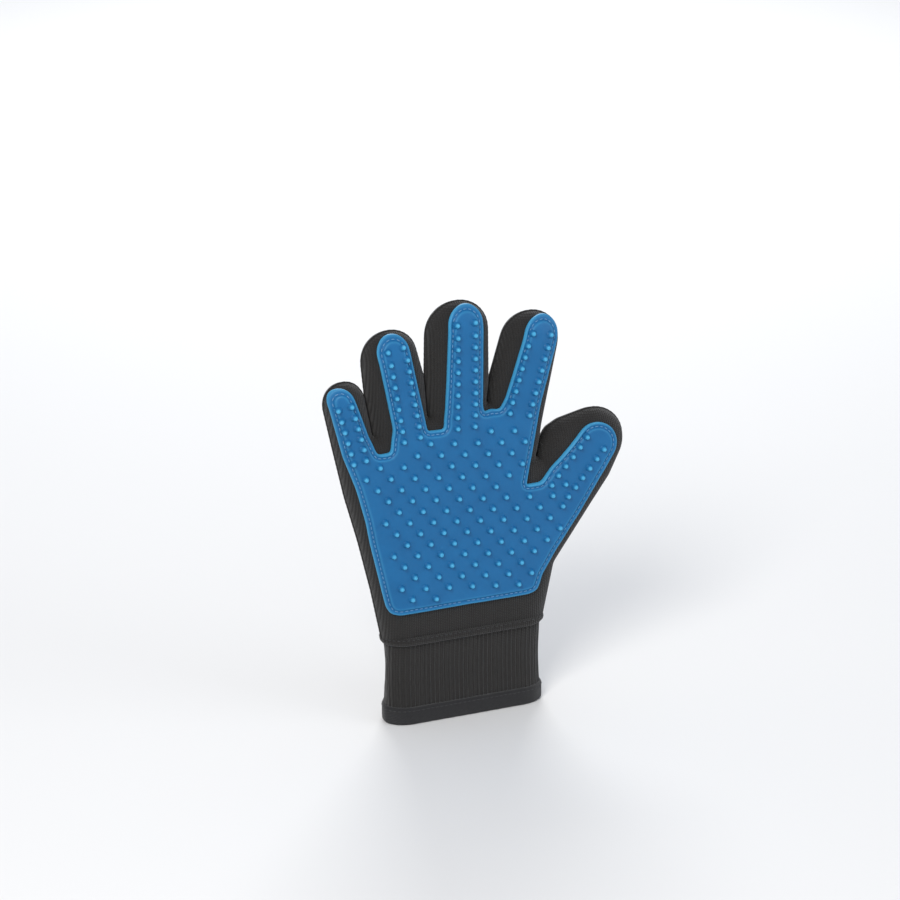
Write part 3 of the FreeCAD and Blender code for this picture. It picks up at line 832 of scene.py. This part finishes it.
def palm_nub_places():
    """The rows' first nubs and a staggered lattice whose rows fall towards the thumb."""
    column, row = np.meshgrid(np.arange(-12, 13), np.arange(-20, 6))
    lattice = np.column_stack([(column + (row % 2) / 2).ravel() * PALM_PITCH, row.ravel() * PALM_ROW])
    cosine, sine = math.cos(PALM_TURN), math.sin(PALM_TURN)
    places = PALM_START + lattice @ ((cosine, -sine), (sine, cosine))
    places = places[inside(places, rubber_areas["palm"])]
    places = places[nearest(places, rubber_rim)[0] > RIM_GAP]
    first = np.vstack([row_places(name, -np.inf, 0) for name in DIGITS])
    gap = np.linalg.norm(places[:, None] - first, axis=2).min(axis=1)
    return np.vstack([places[gap > NUB_GAP], first])


def nubs(places, start):
    """Round-tipped cones along the fabric's normal, as one mesh after start other points."""
    height, normal = crown(places, -1)
    base = place_on(places, height, normal, -1, RUBBER_THICK)
    side = np.cross(normal, [0.0, 0.0, 1.0])
    side /= np.linalg.norm(side, axis=1)[:, None]
    ring = circles(np.linspace(0, FULL_TURN, NUB_SIDES, endpoint=False), side, np.cross(normal, side))
    radii, heights = (np.array(sizes)[:, None, None] for sizes in (NUB_RADII, NUB_HEIGHTS))
    points = base[:, None, None] + radii * ring + heights * normal[:, None, None]
    count = len(NUB_RADII) * NUB_SIDES
    faces = [*grid_faces(len(NUB_RADII), NUB_SIDES), range(count - NUB_SIDES, count)]
    return points.reshape(-1, 3), repeated(faces, count, len(places), start)


def rubber_piece(name, area, places, spacing):
    """The moulding over one area with its nubs, closed on its underside."""
    flat, faces = fill(rubber_areas[area], rubber_rim, RUBBER_RINGS, spacing)
    distance, _ = nearest(flat, rubber_rim)
    height, normal = crown(flat, -1)
    outer = place_on(flat, height, normal, -1, np.interp(distance, RIM_PLACES, RIM_HEIGHTS))
    inner = place_on(flat, height, normal, -1, -RUBBER_SUNK)
    points, faces = slab(faces, outer, inner, -1)
    nub_points, nub_faces = nubs(places, len(points))
    piece = make_piece(name, np.vstack([points, nub_points]), [*faces, *nub_faces], rubber)
    # Painted light per point: a painted highlight over the rim's bead and ridge and the nubs' upper rings,
    # and painted shade at the nubs' feet.
    rim_highlights = np.interp(distance, RIM_PLACES, RIM_HIGHLIGHTS)
    nub_light_and_shade = np.tile(np.repeat(NUB_LIGHT_AND_SHADE, NUB_SIDES), len(places))
    tone = piece.data.attributes.new("painted_light", "FLOAT", "POINT")
    tone.data.foreach_set("value", np.concatenate([rim_highlights, rim_highlights, nub_light_and_shade]).astype(np.float32))
    return piece


palm_rubber = rubber_piece("palm_rubber_panel", "palm", palm_nub_places(), PALM_SPACING)
attach(palm_rubber, "palm", "palm_rubber", "palm_rubber")
for name in DIGITS:
    split = digits[name]["split"]
    for part, flex, span in (("base", "root_flex", (0, split)), ("tip", "mid_flex", (split, np.inf))):
        places = row_places(name, *span)
        strip = rubber_piece(f"{name}_{part}_strip", f"{name}_{part}", places, STRIP_SPACING)
        bend_piece(strip, name, part)
        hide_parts(f"{name}_{part}_rubber", f"{name}_{flex}_rubber")

# ---- Cuff ----
# The cuff is a ribbed tube knitted in one with the hand's fabric, a little narrower than the
# hand, so that it closes round the wrist.


def box(name):
    """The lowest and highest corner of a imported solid, in millimetres."""
    return [np.array(corner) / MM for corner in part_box(name)]


CUFF_FOOT, CUFF_TOP = 1.2, HEM_HEIGHT + 2.0
CUFF_THICK = 1.5
EDGE_ROLL = 13.0
cuff_low, cuff_high = box("cuff_band")
CUFF_HALF = (cuff_high[0] - cuff_low[0]) / 2
CUFF_FRONT, CUFF_BACK = cuff_low[1], cuff_high[1]
RIB_PITCH = 2.3
CUFF_WAIST = -0.9


def cuff_section(count, grow):
    """Points evenly round the cuff's section, which is flat with elliptical sides like the hand's."""
    angle = np.linspace(-math.pi / 2, math.pi / 2, 400)
    high = np.where(angle < 0, grow - CUFF_FRONT, grow + CUFF_BACK)
    wide = CUFF_HALF - EDGE_ROLL + (EDGE_ROLL + grow) * np.cos(angle)
    end = np.stack([wide, high * np.sin(angle)], axis=-1)
    closed = np.vstack([end, end[::-1] * (-1, 1), end[:1]])
    length = lengths(closed)
    return read_off(closed, length, np.linspace(0, length[-1], count, endpoint=False)), length[-1]


def add_ring(name, profile, count, ripple, pitch, material, slot, *nodes):
    """A closed profile of (grow, height) pairs carried round the cuff's section, with ribs."""
    rings = []
    for grow, height in profile:
        section, around = cuff_section(count, grow)
        outward = to_right(np.roll(section, -1, axis=0) - np.roll(section, 1, axis=0))
        turn = np.arange(count) * math.pi / count
        wave = ripple * (np.abs(np.cos(turn * round(around / pitch))) - 0.6)
        drape = 0.35 * ripple * np.sin(turn * 10 + height / 6)
        section = section + (wave + drape)[:, None] * outward
        rings.append(np.column_stack([section, np.full(count, height)]))
    points = np.vstack(rings + rings[:1])
    ring = make_piece(name, points, grid_faces(len(rings) + 1, count), material)
    face_outwards(ring, weld=True)
    attach(ring, "palm", slot, *nodes)


def cuff_waist(height):
    """How far the cuff's outer face grows from its section, drawn in a little under the strap."""
    return CUFF_WAIST * np.exp(-((height - 29) / 14) ** 2) - 0.1


outer = [(cuff_waist(height), height) for height in np.linspace(CUFF_FOOT, CUFF_TOP, 22)]
inner = [(grow - CUFF_THICK, height) for grow, height in outer[::-1]]
add_ring("cuff_rib", outer + inner, 720, 0.34, RIB_PITCH, knit, "cuff_knit", "cuff_band")

# The hand's lower edge is turned over and sewn down on the cuff as a soft roll.
around = np.linspace(0, FULL_TURN, 12, endpoint=False)
roll = [(0.2 + 1.9 * math.cos(a), HEM_HEIGHT + 0.6 + 2.2 * math.sin(a)) for a in around]
add_ring("wrist_roll", roll, 360, 0.12, 5.0, knit, "palm_side_knit")

# ---- Binding ----
# A folded tape binds the cuff's mouth, sewn through near its upper edge.

BINDING_TOP = box("cuff_binding")[1][2]


def tape_finish(name):
    """Woven tape: fine diagonal twill lines."""
    finish = Finish(name, 0.74, Sheen_Weight=0.15, Specular_IOR_Level=0.3)
    x, y, z = finish.axes()
    twill = ((x + y) * (FULL_TURN / 1.1) + z * (FULL_TURN / 0.9)).sine() * 0.5 + 0.5
    fluff = finish.noise(2.0, 4.0, 0.6)
    cover = twill * 0.5 + fluff * 0.5
    finish.colour(cover, (0.008, 0.008, 0.0085), (0.026, 0.026, 0.028))
    finish.bump(twill + fluff * 0.4, 0.22)
    return finish.material


# Profile pairs are growth from the cuff's section and height.
outside = [(0.95, 1.0), (1.05, 3.0), (1.0, BINDING_TOP - 1.4), (0.75, BINDING_TOP - 0.5), (0.2, BINDING_TOP)]
lining = [(-1.9, BINDING_TOP), (-2.35, BINDING_TOP - 0.6), (-2.4, 1.0)]
mouth = [(-2.2, 0.35), (-0.8, 0.0), (0.6, 0.35)]
tape = tape_finish("binding_tape")
add_ring("cuff_binding_tape", outside + lining + mouth, 360, 0.1, 7.0, tape, "binding", "cuff_binding")

# ---- Thread ----
# Lockstitch in the rubber's channel, in the binding and on the strap: short rounded stitches,
# each a little longer than the gap after it.

STITCH_PITCH = 2.7
STITCH_RADIUS = 0.3
STITCH_SIDES = 6
CHANNEL = 2.25
CHANNEL_GAP = 2.0
CHANNEL_HIGH = 1.2
RING_PITCH = 2.6
BLACK_RADIUS = 0.26


def thread_finish(name, dark, light):
    finish = Finish(name, 0.6, Sheen_Weight=0.1)
    finish.colour(finish.noise(0.8), dark, light)
    return finish.material


blue_thread = thread_finish("blue_thread", (0.075, 0.220, 0.430), (0.130, 0.330, 0.560))
black_thread = thread_finish("black_thread", (0.012, 0.012, 0.013), (0.045, 0.045, 0.048))


def stitches(name, centres, directions, length, radius, thread):
    """Small spindles: rings of points whose radius follows a half circle along each stitch."""
    directions = directions / np.linalg.norm(directions, axis=1)[:, None]
    helper = np.where(np.abs(directions[:, 1:2]) > 0.9, [[1.0, 0, 0]], [[0, 1.0, 0]])
    side = np.cross(directions, helper)
    side /= np.linalg.norm(side, axis=1)[:, None]
    turn = np.linspace(0, math.pi, STITCH_SIDES)
    along = -np.cos(turn)[:, None, None] * length / 2
    thick = radius * np.maximum(np.sin(turn), 0.12)[:, None, None] ** 0.6
    angle = np.linspace(0, FULL_TURN, STITCH_SIDES, endpoint=False)
    ring = circles(angle, side, np.cross(directions, side))
    points = centres[:, None, None] + along * directions[:, None, None] + thick * ring
    faces = repeated(tube_faces(STITCH_SIDES, STITCH_SIDES), STITCH_SIDES ** 2, len(centres))
    return make_piece(name, points.reshape(-1, 3), faces, thread)


def sew_channel(name, first, last, digit_part=None):
    """Stitches in the channel along part of the rubber's edge."""
    line = stretch(rubber_line, first, last)
    moved = line + CHANNEL * to_right(np.gradient(line, axis=0))
    moved = moved[nearest(moved, rubber_rim)[0] > CHANNEL_GAP]
    if len(moved) < 3:
        return
    length = lengths(moved)
    places = np.arange(STITCH_PITCH / 2, length[-1] - STITCH_PITCH / 3, STITCH_PITCH)
    centre, ahead = (
        place_on(flat, *crown(flat, -1), -1, CHANNEL_HIGH)
        for flat in (read_off(moved, length, places), read_off(moved, length, places + 0.4)))
    way = ahead - centre
    way[np.linalg.norm(way, axis=1) < 1e-6] = [0, 0, 1]
    piece = stitches(name, centre, way, STITCH_PITCH * 0.66, STITCH_RADIUS, blue_thread)
    place_edge(piece, digit_part, "palm_rubber")


last_stitch = along_edge(
    rubber_line, sew_channel, ("palm_stitches", "left_stitches", "tip_stitches", "right_stitches"))
sew_channel("lower_stitches", last_stitch, len(rubber_line) - 1)


def ring_stitches(name, grow, height):
    """Stitches round the cuff at a height."""
    section, _ = cuff_section(int(cuff_section(8, grow)[1] / RING_PITCH), grow)
    ahead = np.roll(section, -1, axis=0) - np.roll(section, 1, axis=0)
    centre = np.column_stack([section, np.full(len(section), height)])
    way = np.column_stack([ahead, np.zeros(len(section))])
    piece = stitches(name, centre, way, RING_PITCH * 0.62, BLACK_RADIUS, black_thread)
    attach(piece, "palm", "binding")


ring_stitches("binding_stitches", 1.05, BINDING_TOP - 1.9)
ring_stitches("wrist_stitches", 1.6, HEM_HEIGHT + 2.1)

# ---- Wrist strap ----
# A webbing strap is sewn to the back of the cuff near its little-finger side. Its free tab lies
# over a patch of looped pile and holds to it with a hook patch underneath.

anchor_low, anchor_high = box("strap_anchor")
tab_low, tab_high = box("strap_tab")
loop_low, loop_high = box("loop_patch")
hook_low, hook_high = box("hook_patch")
STRAP_MIDDLE = (tab_low[2] + tab_high[2]) / 2
STRAP_HALF = (tab_high[2] - tab_low[2]) / 2
STRAP_FOLD = anchor_high[0]
TAB_LIFT = (tab_low[1] + tab_high[1]) / 2 - CUFF_BACK
TAB_THICK = tab_high[1] - tab_low[1]
STRAP_CORNER = 7
STRAP_PITCH = 2.3


def cuff_back(x, z):
    """How far back the cuff's outer face lies under a point."""
    grow = cuff_waist(z)
    share = np.clip((np.abs(x) - CUFF_HALF + EDGE_ROLL) / (EDGE_ROLL + grow), 0, 1)
    return (CUFF_BACK + grow) * np.sqrt(1 - share ** 2)


def strap_strip(stations, rounds=6):
    """A strip with round edges over the cuff's back: (x, half width, lift, thickness) stations."""
    turn = np.linspace(-math.pi / 2, math.pi / 2, rounds)
    rings = []
    for x, half, lift, thick in stations:
        inset = half - 0.4 * thick
        right = np.column_stack([inset + np.cos(turn) * thick * 0.4, np.sin(turn) * thick / 2])
        top = np.column_stack([np.linspace(0.98, -0.98, 13)[1:-1] * inset, np.full(11, thick / 2)])
        across, rise = np.vstack([right, top, -right, -top]).T
        z = STRAP_MIDDLE + across
        rings.append(np.column_stack([np.full(len(z), x), cuff_back(x, z) + lift + rise, z]))
    return np.vstack(rings), tube_faces(len(rings), len(rings[0]))


def half_width(x, end):
    """The strap's half width, which shrinks near a free end with rounded corners."""
    past = max(x - end + STRAP_CORNER, 0)
    return STRAP_HALF - STRAP_CORNER + math.sqrt(max(STRAP_CORNER ** 2 - past ** 2, 0))


def webbing_finish(name):
    """Woven webbing: weft ribs across the strap over warp ends that run along it."""
    finish = Finish(name, 0.66, Sheen_Weight=0.12, Specular_IOR_Level=0.35)
    along, _, across = finish.axes()
    warp = (across * (math.pi / 1.0)).sine().size()
    zigzag = (across * 1.0).math("PINGPONG", 1.0) * 0.5
    weft = ((along * (1 / 1.3) + zigzag) * FULL_TURN).sine() * 0.5 + 0.5
    fluff = finish.noise(1.5, 4.0, 0.6)
    weave = warp ** 0.5 * (weft * 0.5 + 0.5)
    cover = weave * 0.6 + fluff * 0.4
    finish.colour(cover, (0.007, 0.007, 0.0075), (0.030, 0.030, 0.032))
    finish.bump(weave + fluff * 0.3, 0.32)
    return finish.material


def strap_lift(x):
    """The strap rises from the cuff at its sewn end to its height over the patches."""
    share = min(max((x - anchor_low[0]) / (loop_low[0] - anchor_low[0]), 0), 1)
    return TAB_THICK / 2 + (TAB_LIFT - TAB_THICK / 2) * share * share * (3 - 2 * share)


webbing = webbing_finish("strap_webbing")
FOLD_SPAN = 3.0
fold_left, fold_right, end = STRAP_FOLD - FOLD_SPAN, STRAP_FOLD + FOLD_SPAN, tab_high[0]
rounded = end - STRAP_CORNER + STRAP_CORNER * np.sin(np.linspace(0, math.pi / 2, 9))


def strap_piece(name, places):
    """A stretch of the strap through places along it."""
    stations = [(x, half_width(x, end), strap_lift(x), TAB_THICK) for x in places]
    piece = make_piece(name, *strap_strip(stations), webbing)
    face_outwards(piece)
    return piece


sewn_end = strap_piece("strap_sewn_end", np.linspace(anchor_low[0], fold_left, 10))
attach(sewn_end, "palm", "strap_webbing", "strap_anchor")
fold = strap_piece("strap_fold", np.linspace(fold_left, fold_right, 15))
fold_ends = [(x * MM, tab_high[1] * MM, STRAP_MIDDLE * MM) for x in (fold_left, fold_right)]
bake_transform(fold)
free_places = np.concatenate([np.linspace(fold_right, end - STRAP_CORNER, 22), rounded[1:]])
free_tab = strap_piece("strap_free_tab", free_places)
attach(free_tab, "strap", "strap_webbing", "strap_tab")


def on_strap(points):
    """Points just over the strap's outer face, for points (x, z)."""
    high = [cuff_back(x, z) + strap_lift(x) + TAB_THICK / 2 + 0.02 for x, z in points]
    return np.column_stack([points[:, 0], high, points[:, 1]])


def strap_stitches(name, corners, body):
    """A row of stitches on the strap's outer face through corners (x, z)."""
    corners = np.array(corners, float)
    length = lengths(corners)
    places = np.arange(STRAP_PITCH / 2, length[-1], STRAP_PITCH)
    centre, ahead, behind = (on_strap(read_off(corners, length, places + step)) for step in (0, 0.3, -0.3))
    piece = stitches(name, centre, ahead - behind, STRAP_PITCH * 0.66, BLACK_RADIUS, black_thread)
    attach(piece, body, "strap_webbing")


left, right = anchor_low[0] + 1.6, fold_left - 0.4
low, high = STRAP_MIDDLE - STRAP_HALF + 2.2, STRAP_MIDDLE + STRAP_HALF - 2.2
square = ((left, low), (left, high), (right, high), (right, low), (left, low), (right, high))
strap_stitches("strap_box_stitches", square, "palm")
strap_stitches("strap_cross_stitches", ((left, high), (right, low)), "palm")
left, right, corner = hook_low[0] - 1.0, end - 2.2, 4
strap_stitches("tab_stitches", (
    (left, low), (left, high), (right - corner, high), (right, high - corner),
    (right, low + corner), (right - corner, low), (left, low)), "strap")

# ---- Hook and loop patches ----
# The pile is a field of small soft loops; the hook patch is a nylon base with rows of stubby
# hooks that point down into it.

PILE_PITCH = 1.15
HOOK_PITCH = 1.5
ARCH_RINGS = 6
ARCH_SIDES = 5


def patch_places(low, high, pitch, margin):
    """A staggered lattice of places (x, z) inside a patch."""
    x, z = np.meshgrid(
        np.arange(low[0] + margin, high[0] - margin, pitch),
        np.arange(low[2] + margin, high[2] - margin, pitch * ROW_SHARE))
    x[1::2] += pitch / 2
    places = np.column_stack([x.ravel(), z.ravel()])
    return places[places[:, 0] < high[0] - margin]


def arches(places, lift, heights, spans, turns, radius, stop):
    """Bent threads: tubes that rise from a height over the cuff and curve over, up to an angle."""
    bend = np.linspace(0, stop, ARCH_RINGS)
    sweep = np.stack([(1 - np.cos(bend)) / 2, np.sin(bend)], axis=-1)
    angle = np.linspace(0, FULL_TURN, ARCH_SIDES, endpoint=False)[:, None, None]
    points = []
    for (x, z), height, span, turn in zip(places, heights, spans, turns):
        way = np.array([math.cos(turn), 0, math.sin(turn)])
        side = np.array([-math.sin(turn), 0, math.cos(turn)])
        line = np.array([x, cuff_back(x, z) + lift, z]) + sweep[:, :1] * span * way
        line[:, 1] += sweep[:, 1] * height
        over = np.cross(np.gradient(line, axis=0), side)
        over /= np.linalg.norm(over, axis=1)[:, None]
        ring = radius * (np.cos(angle) * side + np.sin(angle) * over)
        points.append((line + ring).transpose(1, 0, 2).reshape(-1, 3))
    return np.vstack(points)


def patch_piece(name, low, high, lift, thick, threads, finish, colours, *attached):
    """A patch: its backing strip with a field of threads on one face."""
    half = (high[2] - low[2]) / 2
    points, faces = strap_strip([(x, half, lift, thick) for x in np.linspace(low[0], high[0], 20)], 4)
    size = ARCH_RINGS * ARCH_SIDES
    faces += repeated(tube_faces(ARCH_RINGS, ARCH_SIDES), size, len(threads) // size, len(points))
    finish.colour(*colours)
    piece = make_piece(name, np.vstack([points, threads]), faces, finish.material)
    face_outwards(piece)
    attach(piece, *attached)


chance = np.random.default_rng(7)
places = patch_places(loop_low, loop_high, PILE_PITCH, 0.8)
places = places + chance.uniform(-0.35, 0.35, places.shape)
turns = chance.uniform(0, FULL_TURN, len(places))
heights = chance.uniform(0.35, 0.6, len(places))
spans = chance.uniform(0.7, 1.3, len(places))
pile = arches(places, 0.5, heights, spans, turns, 0.13, math.pi)
finish = Finish("loop_pile", 0.9, Sheen_Weight=0.4, Specular_IOR_Level=0.2)
colours = (finish.noise(1.2, 4.0), (0.006, 0.006, 0.0065), (0.034, 0.034, 0.036))
patch_piece("loop_pile_patch", loop_low, loop_high, 0.25, 0.7, pile, finish, colours,
            "palm", "loop_pile", "loop_patch")

places = patch_places(hook_low, hook_high, HOOK_PITCH, 1.0)
under_tab = TAB_LIFT - TAB_THICK / 2
turns = np.where(np.arange(len(places)) % 2, 0.0, math.pi)
heights, spans = np.full(len(places), -0.62), np.full(len(places), 0.7)
hooks = arches(places, under_tab - 0.35, heights, spans, turns, 0.15, 2.5)
finish = Finish("hook_nylon", 0.38, Specular_IOR_Level=0.5)
colours = (finish.noise(5.0), (0.012, 0.012, 0.013), (0.022, 0.022, 0.024))
patch_piece("hook_nylon_patch", hook_low, hook_high, under_tab - 0.22, 0.4, hooks, finish, colours,
            "strap", "hook_plastic", "hook_patch")

# ---- Floor, light and camera ----
# The glove stands on its cuff on a pale studio floor under large soft lamps; the camera looks
# slightly down at the palm from the little-finger side.

floor_mesh = bpy.data.meshes.new("floor")
floor_mesh.from_pydata([(-3, -3, 0), (3, -3, 0), (3, 3, 0), (-3, 3, 0)], [], [(0, 1, 2, 3)])
floor = bpy.data.objects.new("floor", floor_mesh)
bpy.context.scene.collection.objects.link(floor)
floor_finish = Finish("floor", 0.7, Specular_IOR_Level=0.2)
floor_finish.shader.inputs["Base Color"].default_value = (0.78, 0.78, 0.77, 1)
floor_mesh.materials.append(floor_finish.material)

world = bpy.data.worlds.new("studio")
world.use_nodes = True
backdrop = world.node_tree.nodes["Background"].inputs
backdrop["Color"].default_value = (0.86, 0.9, 1.0, 1)
backdrop["Strength"].default_value = 0.55
bpy.context.scene.world = world
LAMP_AIM = Vector((0, 0, 0.12))


def add_lamp(name, place, power, size, colour):
    """A square soft lamp aimed at the middle of the glove."""
    lamp = bpy.data.lights.new(name, "AREA")
    lamp.energy, lamp.size, lamp.color = power, size, colour
    holder = bpy.data.objects.new(name, lamp)
    bpy.context.scene.collection.objects.link(holder)
    holder.location = place
    holder.rotation_euler = (LAMP_AIM - Vector(place)).to_track_quat("-Z", "Y").to_euler()


add_lamp("key", (-0.9, -1.0, 1.3), 20, 0.7, (1.0, 0.97, 0.93))
add_lamp("fill", (1.3, -1.1, 0.6), 7, 1.0, (0.92, 0.96, 1.0))
add_lamp("rear", (0.5, 1.3, 1.0), 14, 0.8, (1.0, 1.0, 1.0))

# The camera's turn round the glove, its rise and its roll, the point that it is placed from, and
# its distances back from, right of and above that point.
TURN, RISE, ROLL = (math.radians(angle) for angle in (-22.36, 21.55, -0.20))
CAMERA_FROM = (-104.0, -9.5, 28.4)
CAMERA_AWAY = (2158.38, 85.932, 128.772)
back = np.array([math.sin(TURN) * math.cos(RISE), -math.cos(TURN) * math.cos(RISE), math.sin(RISE)])
level = np.cross([0, 0, 1], back)
level /= np.linalg.norm(level)
upright = np.cross(back, level)
right = math.cos(ROLL) * level + math.sin(ROLL) * upright
up = math.cos(ROLL) * upright - math.sin(ROLL) * level
place = CAMERA_FROM + CAMERA_AWAY @ np.array([back, right, up])
lens = bpy.data.cameras.new("camera")
lens.lens = 166.4
lens.sensor_width = 36.0
lens.clip_start = 0.05
camera = bpy.data.objects.new("camera", lens)
bpy.context.scene.collection.objects.link(camera)
turned = Matrix(np.column_stack([right, up, back]).tolist()).to_4x4()
camera.matrix_world = Matrix.Translation(Vector(place * MM)) @ turned
bpy.context.scene.camera = camera
bpy.context.scene.view_settings.view_transform = "Standard"
